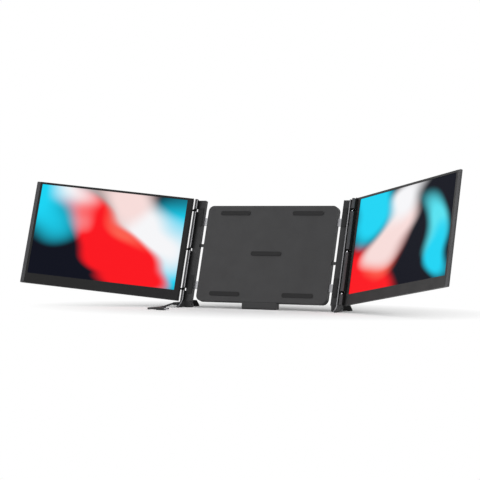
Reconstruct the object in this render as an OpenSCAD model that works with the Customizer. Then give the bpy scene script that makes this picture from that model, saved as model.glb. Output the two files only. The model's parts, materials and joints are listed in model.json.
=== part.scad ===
// Laptop screen extender: two side screens on hinge columns, carried by a leaning frame
// that stands behind a laptop's lid. The columns slide apart together to suit the lid.
// Millimetres. X is to the right, Y to the back, Z up, and the table is z = 0.
// Many pieces are drawn in the leaning frame: x to the right, y backwards from the plane
// that the lid rests on, and z up along the lean.

/* [Screens] */
// Width of a screen's case
screen_w = 340; // [325:1:360]
// Height of a screen's case
screen_h = 221; // [216:1:240]
// Thickness of a screen's case
screen_t = 5.6; // [5.4:0.1:5.8]
// Border between the outer edge and the picture
outer_border = 12; // [11:0.5:20]
// Border above the picture
top_border = 4.3; // [4:0.1:10]
// Border below the picture
chin_h = 21.4; // [20:0.1:22]
// Border between the hinge side and the picture
inner_border = 13; // [12.6:0.1:14]
// Corner radius of a screen's case
case_r = 1.5; // [1.5:0.5:5]
// Wall of a screen's back cover
case_wall = 1.2; // [1:0.1:1.3]
// Thickness of the front bezel
bezel_t = 1; // [0.8:0.1:1.1]
// Thickness of the display panel
panel_t = 1.2; // [1:0.1:1.3]
// Thickness of the backlight
backlight_t = 1.6; // [1.4:0.1:1.7]
// Width of the bevelled strip at a screen's outer edge
trim_w = 7.5; // [5:0.5:8]
// How far that strip's front slopes back at its edge
trim_drop = 0.5; // [0.3:0.1:2]
// How far that strip's back slopes forward at its edge
trim_back = 1.3; // [0.5:0.1:1.8]
// Height of the screens' lower edge, up the lean
screen_lift = 12.4; // [12:0.1:16]
// How far the left screen is turned in
left_toe = 22.3; // [5:0.1:45]
// How far the right screen is turned in
right_toe = 31.7; // [5:0.1:45]

/* [Hinges] */
// Diameter of a hinge barrel
barrel_d = 6.9; // [6.5:0.1:7]
// Diameter of a hinge shaft
shaft_d = 2.6; // [2.4:0.1:3]
// Opening between two barrels, where a hinge arm turns
hinge_gap = 6; // [6:0.5:9]
// Height of a hinge arm's knuckle
arm_h = 3; // [3:0.1:4.5]
// Height of a hinge arm's plate inside the screen
plate_h = 16; // [12:1:24]
// Thickness of a hinge arm's plate
plate_t = 1.6; // [1.2:0.1:1.8]
// How deep a hinge arm's plate goes into the screen
plate_w = 9; // [8:0.5:10]
// How far the left hinge line lies in front of the lid's rest plane
left_forward = 0.75; // [0.6:0.05:1]
// How far the right hinge line lies in front of the lid's rest plane
right_forward = 4.85; // [4.6:0.05:5.2]
// Gap between the left lip and the left barrels
left_web = 0.1; // [0.1:0.1:0.5]
// Gap between the right lip and the right barrels
right_web = 3.5; // [3:0.1:4]
// From the left hinge line out to the left screen's case
left_reach = 7.2; // [7.2:0.1:8]
// From the left hinge line back to the left screen's front
left_set = 3.5; // [3.4:0.1:3.7]
// From the right hinge line out to the right screen's case
right_reach = 1.9; // [1.8:0.1:2.4]
// From the right hinge line back to the right screen's front
right_set = 6.2; // [6.1:0.1:6.6]

/* [Frame] */
// Lean of the frame back from upright
lean = 16.1; // [14:0.1:18]
// How far each side rail is drawn out from the housing
slide_out = 10; // [6:0.5:20]
// Reach of each side lip in front of the rest plane
lip_reach = 5.2; // [4:0.1:5.5]
// Thickness of each side lip
lip_t = 1.5; // [1.2:0.1:1.6]
// Width of the centre housing
housing_w = 300; // [280:2:306]
// Height of the centre housing, up the lean
housing_h = 204; // [196:2:214]
// Height of the housing's lower edge, up the lean
housing_lift = 14; // [13:0.5:16]
// Corner radius of the centre housing
housing_r = 12; // [6:1:16]
// Wall of the centre housing
housing_wall = 2; // [1.6:0.1:2.4]
// Depth of the centre housing's back cover
back_d = 10; // [9.8:0.1:12]
// Thickness of the rubber pads that the lid leans on
pad_t = 1.2; // [0.8:0.1:1.4]
// Width of a side rail
rail_w = 14.8; // [12:0.1:15]
// Depth of a side rail
rail_d = 8.8; // [8.4:0.1:9.2]

/* [Slides] */
// Height of a slide bar
bar_h = 16; // [12:1:20]
// Thickness of the slide bars and racks
bar_t = 3; // [2.5:0.1:3.2]
// How far the slide bars reach inwards past the housing's side
bar_reach = 85; // [60:1:100]
// Tooth module of the racks and pinion
gear_m = 1.5; // [1.3:0.05:1.6]
// Tooth count of the pinion
gear_teeth = 16; // [16:2:20]
// Height of a rack's solid strip
rack_h = 6; // [5:0.5:8]
// Play between meshing teeth
backlash = 0.3; // [0.25:0.05:0.4]
// Diameter of the pinion's axle
axle_d = 4; // [3:0.5:5]
// Thickness of the steel backbone
backbone_t = 1.8; // [1.5:0.1:2]

/* [Feet] */
// Height of the leg pivots above the table
pivot_z = 6.5; // [6.5:0.1:7]
// How far the leg pivots lie behind the lid's rest plane
pivot_back = 10.1; // [10:0.1:11]
// Thickness of a leg
leg_t = 5; // [4:0.1:5]
// Length of a leg from its pivot
leg_len = 54; // [48:1:60]
// Height of a leg above its pivot
leg_up = 6.8; // [5.5:0.1:6.8]
// Thickness of the rubber under the feet
sole_t = 1.2; // [1:0.1:1.5]
// How far the toes reach in front of the origin
toe_reach = 27; // [25:1:34]
// Diameter of a leg pin
pin_d = 4; // [3.5:0.1:4.5]
// Outer diameter of the ring at a leg pivot
ring_d = 11; // [10:0.5:11]

/* [Buttons] */
// Diameter of a button cap
button_d = 5; // [4:0.1:6]
// Travel of a button
button_travel = 0.5; // [0.4:0.05:0.5]
// Distance between the two buttons
button_pitch = 15; // [12:1:20]

/* [Cable] */
// Diameter of the cable
cable_d = 3.8; // [3.2:0.1:3.8]
// Width of a cable plug's grip
grip_w = 11.6; // [10:0.1:12]
// Thickness of a cable plug's grip
grip_t = 6.2; // [5.6:0.1:6.4]
// Length of a cable plug's grip
grip_l = 20; // [16:1:22]

/* [Hidden] */

$fn = 64;
LEFT = -1;
RIGHT = 1;
cut = 0.5;              // how far a cut runs past the face it opens
run_gap = 0.05;         // radial clearance of a shaft in its bore
slide_gap = 0.15;       // clearance around a sliding bar
seat_gap = 0.05;        // clearance of a piece in its seat
free_gap = 0.3;         // clearance between pieces that pass each other

// Where the leaning frame meets the table
plane_y = -10;
plane_z = 1.65;

// Side rails, lips and hinge lines, all worked out from the housing's side
rail_in = housing_w / 2 + slide_out;
rail_out = rail_in + rail_w;
rail_back = pad_t + rail_d;
rail_bevel = 4;
rail_gap = 1.55;
lip_in = rail_out + rail_gap;
lip_out = lip_in + lip_t;
lip_plate_t = 1.6;
lip_back = pad_t + lip_plate_t;
bead_out = 0.5;         // how far a lip's front bead stands out from the lip
bead_d = 1;
lid_gap = 0.25;
lid_half = lip_in - lid_gap;    // half the width of the lid that fits between the lips
barrel_r = barrel_d / 2;
web_t = 3.4;
web_set = 0.85;
web_room = 0.45;        // from the right web to the barrels, where the hinge arms turn

// Hinge columns
column_drop = 2;
column_lo = screen_lift - 0.8;
column_hi = screen_lift + screen_h - column_drop;
column_h = column_hi - column_lo;
cap_t = 1.2;
gap_places = [0.115, 0.505, 0.89];
knuckle_drop = 0.4;     // from an opening's top down to the hinge arm's knuckle
block_gap = 0.3;        // end play of a hinge arm's thrust block
block_turn = 60;        // how far the right thrust blocks' open half is turned
rail_lo = 12;
rail_hi = column_hi - 2;

// Display size and place inside a screen
display_w = screen_w - inner_border - outer_border;
display_h = screen_h - chin_h - top_border;
panel_lap = 2;
panel_x = inner_border - panel_lap;
panel_z = chin_h - panel_lap;
panel_w = display_w + 2 * panel_lap;
panel_h = display_h + 2 * panel_lap;
trim_x = screen_w - trim_w;
rib_w = 1.2;            // raised rib along a screen's inner edge
rib_d = 3;
strip_t = 1.2;          // strip behind the right barrels
strip_over = 1.5;       // how far the strip reaches past the hinge line
wall_y = screen_t - case_wall;      // inner face of a back cover's wall
plate_y = wall_y - plate_t;
board_t = 0.8;
board_y = 2;
board_x = 60;
board_lo = 3;
board_h = 13;
flange_t = 0.5;
flange_rim = 0.9;
button_z = 9;
button_x = trim_x - 45;
board_w = button_x + button_pitch + 12 - board_x;
arm_screw_d = 2;
arm_screw_head = 4;
arm_screw_head_t = 0.7;
arm_screw_pitch = 8;
chip_rows = [0.08, 0.24, 0.48];

// Centre housing
front_t = 2;
front_back = pad_t + front_t;               // rear face of the front plate
back_back = front_back + back_d;            // rear face of the back cover
bar_y = front_back + 2;
backbone_y = back_back - housing_wall - backbone_t - 0.2;
guide_w = 26;
guide_wall = 3;
guide_x = housing_w / 2 - housing_wall - guide_w - 0.2;
guide_space = 3.8;
backbone_w = 2 * (guide_x - guide_space);
backbone_inset = 14;
backbone_h = housing_h - 2 * backbone_inset;
lug_inset = 18;
bar_lift_low = 34;
bar_lift_high = housing_h - 34;
pocket_d = 11;
pinion_r = gear_m * gear_teeth / 2;
gear_v = housing_lift + housing_h / 2;
addendum = 0.9 * gear_m;
dedendum = 1.25 * gear_m;
tooth_pitch = PI * gear_m;
rack_over = 24;
pressure = 20;
post_d = 7;
screw_d = 3;
screw_head_d = 5.4;
screw_head_t = 1.2;
screw_inset = 12;
screw_rows = [0, 0.5, 1];
board_clear = 4;
main_board_x = 30;
main_board_w = backbone_w / 2 - main_board_x - 2 * board_clear;
main_board_lift = bar_lift_low + bar_h / 2 + board_clear;
main_board_h = rack_low(RIGHT) - housing_lift - board_clear - main_board_lift;
main_chips = [[0.2, 0.5, 12], [0.55, 0.35, 14], [0.85, 0.7, 9]];
standoff_h = 1.2;
standoff_inset = 4;

// Feet
pivot_v = (pivot_z - plane_z + pivot_back * sin(lean)) / cos(lean);
pivot_y = plane_y + pivot_back * cos(lean) + pivot_v * sin(lean);
leg_in = rail_out + 0.5;
leg_out = leg_in + leg_t;
ear_in = leg_out + 0.2;
ear_t = 1.7;
foot_out = ear_in + ear_t;
foot_in = rail_in + 2;
laptop_gap = 1;         // from the lid's side out to the toes
toe_in = lid_half + laptop_gap;
foot_rear = 9;
leg_down = 5;
base_w = 80;
base_half = 6;
base_gap = 0.02;
sole_inset = 1;
foot_front = -5.5;      // front of a foot's wide part, behind the laptop

// Cable socket beside the left foot
port_w = 13.2;
port_out = foot_out + port_w;
port_x = foot_out + 6.8;
port_z = 7.5;
port_front = -3;
port_len = 22;
port_top = 10.5;
shell_w = 8.3;
shell_t = 2.5;
shell_l = 6.6;
socket_wall = 0.35;
socket_l = 7.6;
relief_l = 8;
relief_d = 5;
plug_gap = 0.1;
plug_y = port_front - grip_l - relief_l - plug_gap;

// The cable's route from the end of the plug at the frame, its heights above the table
route_steps = [
    [0, 0, port_z], [0, -7, port_z - 0.4], [-0.5, -19, 5], [-1, -33, 2.9], [-1.5, -49, 2.1],
    [-2, -69, 2],
    [-1.5, -83, 2], [1, -95, 2.2], [6, -100.5, 2.8], [11, -102, 3.1], [17, -102, 3.1]
];
cable_route = [for (p = route_steps) [p[0] - port_x, p[1] + plug_y - plug_gap, p[2]]];
cable_rings = 30;
cable_sides = 8;

function toe(s) = s < 0 ? left_toe : right_toe;
function web(s) = s < 0 ? left_web : right_web;
function axis_out(s) = lip_out + web(s) + barrel_r;
function axis_back(s) = s < 0 ? -left_forward : -right_forward;
function reach(s) = s < 0 ? left_reach : right_reach;
function set_back(s) = s < 0 ? left_set : right_set;
function gap_mid(i) = column_lo + gap_places[i] * column_h;
function barrel_lo(i) = i == 0 ? column_lo : gap_mid(i - 1) + hinge_gap / 2;
function barrel_hi(i) = i == 3 ? column_hi : gap_mid(i) - hinge_gap / 2;
function knuckle_lo(i) = gap_mid(i) + hinge_gap / 2 - knuckle_drop - arm_h;
// A point of the leaning frame, as y and z of the standing one
function stand(b, v) = [
    plane_y + b * cos(lean) + v * sin(lean),
    plane_z + v * cos(lean) - b * sin(lean)
];

// ---- Frames of reference ----

module lean_frame() {
    translate([0, plane_y, plane_z]) rotate([-lean, 0, 0]) children();
}

module sided(s) {
    if (s < 0) mirror([1, 0, 0]) children();
    else children();
}

module hinge_frame(s) {
    lean_frame() sided(s) translate([axis_out(s), axis_back(s), 0]) children();
}

// At a screen's hinge, turned with the screen: x outwards, y back
module arm_frame(s) {
    hinge_frame(s) rotate([0, 0, -toe(s)]) children();
}

// At a screen's lower inner front corner: x outwards, y back, z up
module screen_frame(s) {
    arm_frame(s) translate([reach(s), set_back(s), screen_lift]) children();
}

// ---- Shared shapes ----

module rounded(w, h, r) {
    translate([r, 0]) square([w - 2 * r, h]);
    translate([0, r]) square([w, h - 2 * r]);
    for (x = [r, w - r], y = [r, h - r]) translate([x, y]) circle(r);
}

// Raises an outline drawn in x and z to a plate from y to y + t
module upright(y, t) {
    translate([0, y + t, 0]) rotate([90, 0, 0]) linear_extrude(t) children();
}

// A round bar along y, from y to y + l
module rod_y(x, y, z, d, l) {
    translate([x, y, z]) rotate([-90, 0, 0]) cylinder(h = l, d = d);
}

// Raises an outline drawn in y and z to a plate from x to x + t
module profile_x(x, t) {
    translate([x, 0, 0]) rotate([90, 0, 90]) linear_extrude(t) children();
}

// ---- Centre housing ----

module housing_outline(inset) {
    translate([-housing_w / 2 + inset, housing_lift + inset])
        rounded(housing_w - 2 * inset, housing_h - 2 * inset, housing_r - inset);
}

module at_housing_screws() {
    for (side = [LEFT, RIGHT], row = screw_rows)
        translate([
            side * (housing_w / 2 - screw_inset - housing_wall),
            0,
            housing_lift + screw_inset + row * (housing_h - 2 * screw_inset)
        ])
            children();
}

module housing_front() {
    color([0.16, 0.16, 0.17])
        lean_frame() difference() {
            union() {
                upright(pad_t, front_t) housing_outline(0);
                at_housing_screws() rod_y(0, front_back - cut, 0, post_d, 5 + cut);
            }
            at_housing_screws() rod_y(0, front_back, 0, screw_d - 0.1, 5 + cut);
        }
}

module bar_slots(clear) {
    for (side = [LEFT, RIGHT], v = [bar_lift_low, bar_lift_high])
        translate([
            side * housing_w / 2 - housing_wall - cut,
            bar_y - clear,
            housing_lift + v - bar_h / 2 - clear
        ])
            cube([2 * housing_wall + 2 * cut, bar_t + 2 * clear, bar_h + 2 * clear]);
}

module rack_slot(side, clear) {
    low = side < 0 ? gear_v + pinion_r - addendum : gear_v - pinion_r - dedendum - rack_h;
    translate([side * housing_w / 2 - housing_wall - cut, bar_y - clear, low - clear])
        cube([
            2 * housing_wall + 2 * cut,
            bar_t + 2 * clear,
            addendum + dedendum + rack_h + 2 * clear
        ]);
}

module housing_back() {
    color([0.13, 0.13, 0.14])
        lean_frame() difference() {
            upright(front_back, back_d) housing_outline(0);
            upright(front_back - cut, back_d - housing_wall + cut)
                housing_outline(housing_wall);
            bar_slots(free_gap);
            rack_slot(LEFT, free_gap);
            rack_slot(RIGHT, free_gap);
            at_housing_screws() {
                rod_y(0, back_back - housing_wall - cut, 0, screw_d + 0.1, housing_wall + 2 * cut);
                rod_y(0, back_back - screw_head_t, 0, screw_head_d + 0.1, screw_head_t + cut);
            }
        }
}

module housing_screws() {
    color([0.55, 0.55, 0.57])
        lean_frame() at_housing_screws() {
            rod_y(0, front_back + 0.4, 0, screw_d - 0.2, back_d - 1);
            rod_y(0, back_back - screw_head_t + 0.05, 0, screw_head_d, screw_head_t - 0.1);
        }
}

module backbone_plate() {
    color([0.62, 0.63, 0.65])
        lean_frame() {
            upright(backbone_y, backbone_t)
                translate([-backbone_w / 2, housing_lift + (housing_h - backbone_h) / 2])
                    square([backbone_w, backbone_h]);
            for (x = [standoff_inset, main_board_w - standoff_inset],
                 v = [standoff_inset, main_board_h - standoff_inset])
                rod_y(main_board_x + x, backbone_y - standoff_h,
                      housing_lift + main_board_lift + v, 4, standoff_h + 0.1);
            // Lugs that carry the plate on the back cover
            for (x = [-1, 1], v = [-1, 1])
                rod_y(x * (backbone_w / 2 - lug_inset), backbone_y + backbone_t - 0.1,
                      gear_v + v * (backbone_h / 2 - lug_inset), 8, 0.3);
        }
}

// One guide: a block with a slot that a bar or rack slides through
module guide(side, low, high) {
    translate([side * (guide_x + guide_w / 2), 0, 0]) difference() {
        translate([-guide_w / 2, front_back + 0.1, low - guide_wall])
            cube([guide_w, backbone_y - front_back - 0.2, high - low + 2 * guide_wall]);
        translate([-guide_w / 2 - cut, bar_y - slide_gap, low - slide_gap])
            cube([guide_w + 2 * cut, bar_t + 2 * slide_gap, high - low + 2 * slide_gap]);
    }
}

module slide_guides() {
    rack_half = addendum + dedendum + rack_h;
    left_low = gear_v + pinion_r - addendum;
    right_low = gear_v - pinion_r - dedendum - rack_h;
    color([0.85, 0.84, 0.8])
        lean_frame() {
            for (side = [LEFT, RIGHT], v = [bar_lift_low, bar_lift_high])
                guide(side, housing_lift + v - bar_h / 2, housing_lift + v + bar_h / 2);
            guide(LEFT, left_low, left_low + rack_half);
            guide(RIGHT, right_low, right_low + rack_half);
        }
}

// Angle from a tooth's middle to its flank at radius r
function involute(a) = tan(a) * 180 / PI - a;
function flank_angle(r) =
    let(base = pinion_r * cos(pressure), a = r > base ? acos(base / r) : 0)
    (PI * gear_m / 2 - backlash) / (2 * pinion_r) * 180 / PI + involute(pressure) - involute(a);

module sync_pinion() {
    root = pinion_r - dedendum;
    tip = pinion_r + addendum;
    steps = 6;
    radii = [for (i = [0:steps]) root + (tip - root) * i / steps];
    tooth = concat(
        [for (r = radii) [r * sin(flank_angle(r)), r * cos(flank_angle(r))]],
        [for (i = [steps:-1:0]) [-radii[i] * sin(flank_angle(radii[i])),
                                 radii[i] * cos(flank_angle(radii[i]))]]
    );
    color([0.9, 0.88, 0.82])
        lean_frame() translate([0, 0, gear_v]) difference() {
            upright(bar_y, bar_t) union() {
                circle(root + 0.02);
                for (i = [0:gear_teeth - 1])
                    rotate(i * 360 / gear_teeth) polygon(tooth);
            }
            rod_y(0, bar_y - cut, 0, axle_d + 2 * run_gap, bar_t + 2 * cut);
        }
}

module pinion_axle() {
    color([0.7, 0.7, 0.72])
        lean_frame() translate([0, 0, gear_v]) {
            rod_y(0, front_back + 0.1, 0, axle_d, backbone_y - front_back - 0.1);
            rod_y(0, bar_y + bar_t + 0.2, 0, axle_d + 4, backbone_y - bar_y - bar_t - 0.2);
        }
}

module main_board() {
    board = 1.4;
    board_back = backbone_y - standoff_h;
    color([0.1, 0.32, 0.2])
        lean_frame() {
            upright(board_back - board, board)
                translate([main_board_x, housing_lift + main_board_lift])
                    square([main_board_w, main_board_h]);
            for (chip = main_chips)
                translate([
                    main_board_x + chip[0] * (main_board_w - chip[2]),
                    board_back - board - 1,
                    housing_lift + main_board_lift + chip[1] * (main_board_h - chip[2])
                ])
                    cube([chip[2], 1.1, chip[2]]);
        }
}

module lid_pads() {
    pad_w = 70;
    pad_h = 9;
    pad_x = 0.28 * housing_w;
    pad_v = housing_h / 2 - 16;
    color([0.06, 0.06, 0.065])
        lean_frame() for (x = [-pad_x, pad_x], v = [-pad_v, pad_v])
            upright(0, pad_t)
                translate([x - pad_w / 2, gear_v + v - pad_h / 2]) rounded(pad_w, pad_h, 4);
    color([0.06, 0.06, 0.065])
        lean_frame() upright(0, pad_t)
            translate([-pad_w / 2, gear_v - pad_h / 2]) rounded(pad_w, pad_h, 4);
}

module base_foot() {
    color([0.12, 0.12, 0.13])
        profile_x(-base_w / 2, base_w)
            polygon([
                [-base_half, sole_t],
                [base_half, sole_t],
                [base_half, sole_t + 5],
                stand(back_back, housing_lift - base_gap),
                stand(pad_t, housing_lift - base_gap),
                [-base_half, sole_t + 5]
            ]);
}

module base_sole() {
    color([0.05, 0.05, 0.05])
        translate([-base_w / 2 + sole_inset, -base_half + sole_inset, 0])
            cube([base_w - 2 * sole_inset, 2 * (base_half - sole_inset), sole_t]);
}

// ---- Side carriages ----

module side_rail(s) {
    color([0.2, 0.2, 0.21])
        lean_frame() sided(s) difference() {
            union() {
                translate([0, 0, rail_lo]) linear_extrude(rail_hi - rail_lo)
                    polygon([
                        [rail_in, pad_t],
                        [rail_out, pad_t],
                        [rail_out, rail_back - rail_bevel],
                        [rail_out - rail_bevel, rail_back],
                        [rail_in, rail_back]
                    ]);
                translate([rail_out - cut, pad_t, rail_lo])
                    cube([rail_gap + cut, lip_plate_t, rail_hi - rail_lo]);
            }
            for (v = [bar_lift_low, bar_lift_high])
                translate([
                    rail_in - cut,
                    bar_y - seat_gap,
                    housing_lift + v - bar_h / 2 - seat_gap
                ])
                    cube([pocket_d + cut, bar_t + 2 * seat_gap, bar_h + 2 * seat_gap]);
            translate([rail_in - cut, bar_y - seat_gap, rack_low(s) - seat_gap])
                cube([
                    pocket_d + cut,
                    bar_t + 2 * seat_gap,
                    addendum + dedendum + rack_h + 2 * seat_gap
                ]);
        }
}

function rack_low(s) =
    s < 0 ? gear_v + pinion_r - addendum : gear_v - pinion_r - dedendum - rack_h;

// The thin lip beside the lid, with the ribs that carry the hinge barrels
module edge_lip(s) {
    color([0.36, 0.36, 0.37])
        lean_frame() sided(s) difference() {
            union() {
                translate([lip_in, -lip_reach, rail_lo])
                    cube([lip_t, lip_reach + lip_back, rail_hi - rail_lo]);
                translate([lip_in, -lip_reach, rail_lo])
                    cube([lip_t + bead_out, bead_d, rail_hi - rail_lo]);
                for (i = [0:3])
                    translate([
                        lip_out - 0.2,
                        axis_back(s) + web_set,
                        max(barrel_lo(i) + 1, rail_lo)
                    ])
                        cube([
                            web(s) + barrel_r,
                            web_t,
                            min(barrel_hi(i) - 1, rail_hi) - max(barrel_lo(i) + 1, rail_lo)
                        ]);
                // The right web runs on past the hinge openings
                if (s > 0)
                    translate([lip_out - 0.2, axis_back(s) + web_set, rail_lo])
                        cube([web(s) + 0.2 - web_room, web_t, rail_hi - rail_lo]);
            }
            translate([axis_out(s), axis_back(s), rail_lo - 1])
                cylinder(h = rail_hi - rail_lo + 2, d = barrel_d + 2 * seat_gap);
            // The left lip is open where the hinge arms pass
            if (s < 0)
                for (i = [0:2])
                    translate([lip_in - cut, -lip_reach - cut, gap_mid(i) - hinge_gap / 2])
                        cube([
                            lip_t + bead_out + 2 * cut,
                            lip_reach + lip_back + 2 * cut,
                            hinge_gap
                        ]);
        }
}

module slide_bars(s) {
    color([0.58, 0.59, 0.61])
        lean_frame() sided(s) for (v = [bar_lift_low, bar_lift_high])
            translate([housing_w / 2 - bar_reach, bar_y, housing_lift + v - bar_h / 2])
                cube([rail_in + pocket_d - housing_w / 2 + bar_reach, bar_t, bar_h]);
}

// The left rack runs above the pinion and the right one, the same piece turned over, below it
module rack(s) {
    count = ceil((rack_over + 4) / tooth_pitch);
    half_root = tooth_pitch / 4 - backlash / 2 + dedendum * tan(pressure);
    half_tip = tooth_pitch / 4 - backlash / 2 - addendum * tan(pressure);
    inner = -rack_over;
    color([0.9, 0.88, 0.82])
        lean_frame() translate([0, 0, gear_v])
            rotate([0, s < 0 ? 180 : 0, 0]) translate([0, 0, -pinion_r])
                upright(bar_y, bar_t) union() {
                    translate([inner, -dedendum - rack_h])
                        square([rail_in + pocket_d - inner, rack_h]);
                    for (i = [-count + 1:count - 2])
                        translate([(i + 0.5) * tooth_pitch, 0])
                            polygon([
                                [-half_root, -dedendum - 0.1],
                                [half_root, -dedendum - 0.1],
                                [half_tip, addendum],
                                [-half_tip, addendum]
                            ]);
                }
}

module rail_pads(s) {
    inset = 2;
    color([0.06, 0.06, 0.065])
        lean_frame() sided(s) for (v = [rail_lo + 16, rail_hi - 56])
            upright(0, pad_t) translate([rail_in + inset, v]) rounded(rail_w - 2 * inset, 40, 3);
}

module hinge_barrels(s) {
    color([0.3, 0.3, 0.31])
        hinge_frame(s) for (i = [0:3])
            difference() {
                translate([0, 0, barrel_lo(i)])
                    cylinder(h = barrel_hi(i) - barrel_lo(i), d = barrel_d);
                translate([0, 0, i == 0 ? column_lo + cap_t : barrel_lo(i) - cut])
                    cylinder(
                        h = (i == 3 ? column_hi - cap_t : barrel_hi(i) + cut)
                            - (i == 0 ? column_lo + cap_t : barrel_lo(i) - cut),
                        d = shaft_d + 2 * seat_gap
                    );
            }
}

module hinge_shaft(s) {
    color([0.72, 0.72, 0.74])
        hinge_frame(s) translate([0, 0, column_lo + cap_t + 0.1])
            cylinder(h = column_h - 2 * cap_t - 0.2, d = shaft_d);
}

// ---- Feet and legs ----

module foot_profile() {
    polygon([
        [-toe_reach, sole_t],
        [-toe_reach, sole_t + 1.4],
        [-toe_reach + 4, sole_t + 2.6],
        [-toe_reach + 9, sole_t + 5.6],
        [-toe_reach + 12.5, sole_t + 9],
        stand(-lip_reach, rail_lo),
        stand(lip_back, rail_lo),
        stand(rail_back, rail_lo),
        [foot_rear, pivot_z],
        [foot_rear, sole_t]
    ]);
}

// The bead that runs down a toe's front edge, as the lip's bead does above it
module toe_bead() {
    profile_x(toe_in, lip_t + bead_out)
        polygon([
            [-toe_reach - 0.6, sole_t],
            [-toe_reach - 0.6, sole_t + 1.7],
            [-toe_reach + 3.7, sole_t + 3.1],
            [-toe_reach + 8.6, sole_t + 6.1],
            [-toe_reach + 12, sole_t + 9.5],
            stand(-lip_reach - 0.4, rail_lo - 0.1),
            stand(0, rail_lo - 0.1),
            [-toe_reach + 14, sole_t]
        ]);
}

// Room for the foot of the lowest hinge barrel
module barrel_seat(s) {
    hinge_frame(s) translate([0, 0, column_lo - seat_gap])
        cylinder(h = 20, d = barrel_d + 2 * seat_gap);
}

module foot(s) {
    leg_clear = leg_up + 0.6;
    color([0.25, 0.25, 0.26]) difference() {
        foot_body(s, leg_clear);
        barrel_seat(s);
    }
    if (s < 0) port_housing();
}

module foot_body(s, leg_clear) {
    sided(s) {
        difference() {
            union() {
                profile_x(foot_in, foot_out - foot_in) foot_profile();
                toe_bead();
            }
            // Beside the laptop only the narrow toe is left
            translate([foot_in - cut, -toe_reach - 2, -cut])
                cube([toe_in - foot_in + cut, toe_reach + foot_front + 2, 40]);
            // Slot for the leg
            translate([leg_in - 0.2, pivot_y - leg_clear, -cut])
                cube([leg_t + 0.4, 60, 40]);
            // Clears the outer ear down to its ring
            translate([ear_in - 0.01, pivot_y, -cut]) cube([ear_t + 1, 40, 40]);
            translate([ear_in - 0.01, pivot_y - leg_clear, pivot_z + ring_d / 2 - 0.4])
                cube([ear_t + 1, 40, 40]);
            translate([foot_in - cut, pivot_y, pivot_z]) rotate([0, 90, 0])
                cylinder(h = foot_out - foot_in + 2 * cut, d = pin_d + 2 * seat_gap);
        }
        difference() {
            translate([ear_in, pivot_y, pivot_z]) rotate([0, 90, 0])
                cylinder(h = ear_t + 0.4, d = ring_d - 0.4);
            translate([ear_in - cut, pivot_y, pivot_z]) rotate([0, 90, 0])
                cylinder(h = ear_t + 2, d = pin_d + 2 * seat_gap);
        }
    }
}

// The case beside the left foot that holds the cable's socket
module port_housing() {
    socket_w = shell_w + 2 * socket_wall + 0.1;
    socket_h = shell_t + 2 * socket_wall + 0.1;
    color([0.25, 0.25, 0.26])
        difference() {
            translate([-port_out, port_front, sole_t])
                cube([port_out - foot_out, port_len, port_top - sole_t]);
            translate([
                -port_x - socket_w / 2 - seat_gap,
                port_front - cut,
                port_z - socket_h / 2 - seat_gap
            ])
                cube([socket_w + 2 * seat_gap, socket_l + cut, socket_h + 2 * seat_gap]);
            // Room for the board behind and below the socket
            translate([-port_x - 5.2, port_front + 4, port_z - socket_h / 2 - 1.3])
                cube([10.4, port_len - 6, 1.3]);
            translate([-port_x - 5.2, port_front + socket_l - 0.1, port_z - socket_h / 2 - 0.1])
                cube([10.4, port_len - socket_l - 1.9, socket_h]);
        }
}

module port_board() {
    socket_h = shell_t + 2 * socket_wall + 0.1;
    color([0.1, 0.32, 0.2])
        translate([-port_x - 5, port_front + 4.2, port_z - socket_h / 2 - 1.1])
            cube([10, port_len - 6.4, 1]);
}

module usb_c_socket() {
    outer_w = shell_w + 2 * socket_wall + 0.1;
    outer_t = shell_t + 2 * socket_wall + 0.1;
    color([0.75, 0.75, 0.77])
        translate([-port_x, port_front + socket_l, port_z]) rotate([90, 0, 0]) difference() {
            linear_extrude(socket_l) stadium(outer_w, outer_t);
            translate([0, 0, socket_l - shell_l - 0.1])
                linear_extrude(shell_l + 1) stadium(shell_w + 0.1, shell_t + 0.1);
        }
}

module stadium(w, h) {
    square([w - h, h], center = true);
    for (x = [-1, 1]) translate([x * (w - h) / 2, 0]) circle(d = h);
}

module foot_sole(s) {
    color([0.05, 0.05, 0.05])
        sided(s) {
            translate([toe_in + sole_inset, -toe_reach + sole_inset, 0])
                cube([foot_out - toe_in - 2 * sole_inset, toe_reach - 12, sole_t]);
            translate([foot_in + sole_inset, foot_front + sole_inset, 0])
                cube([
                    leg_in - foot_in - 2 * sole_inset,
                    foot_rear - foot_front - 2 * sole_inset,
                    sole_t
                ]);
        }
}

module leg_pin(s) {
    color([0.12, 0.12, 0.12])
        sided(s) translate([foot_in + 1, pivot_y, pivot_z]) rotate([0, 90, 0])
            cylinder(h = foot_out - foot_in - 1.4, d = pin_d);
}

module leg(s) {
    color([0.07, 0.07, 0.075])
        sided(s) difference() {
            profile_x(leg_in, leg_t) translate([pivot_y, pivot_z]) union() {
                circle(leg_down);
                polygon([
                    [0, -leg_down],
                    [leg_len, -leg_down],
                    [leg_len - leg_down - leg_up, leg_up],
                    [12, leg_up],
                    [2, leg_down]
                ]);
            }
            translate([leg_in - cut, pivot_y, pivot_z]) rotate([0, 90, 0])
                cylinder(h = leg_t + 2 * cut, d = pin_d + 2 * run_gap);
        }
}

module leg_sole(s) {
    pad_l = 14;
    color([0.05, 0.05, 0.05])
        sided(s) translate([leg_in + 0.3, pivot_y + leg_len - pad_l - 1, 0])
            cube([leg_t - 0.6, pad_l, pivot_z - leg_down]);
}

// ---- Screens ----

module case_outline() {
    intersection() {
        rounded(screen_w, screen_h, case_r);
        square([trim_x, screen_h]);
    }
}

// Openings in a screen's inner edge, where the hinge arms pass
module arm_slots(low, high) {
    for (i = [0:2])
        translate([low, knuckle_lo(i) - screen_lift - seat_gap])
            square([high - low, arm_h + 2 * seat_gap]);
}

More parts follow.
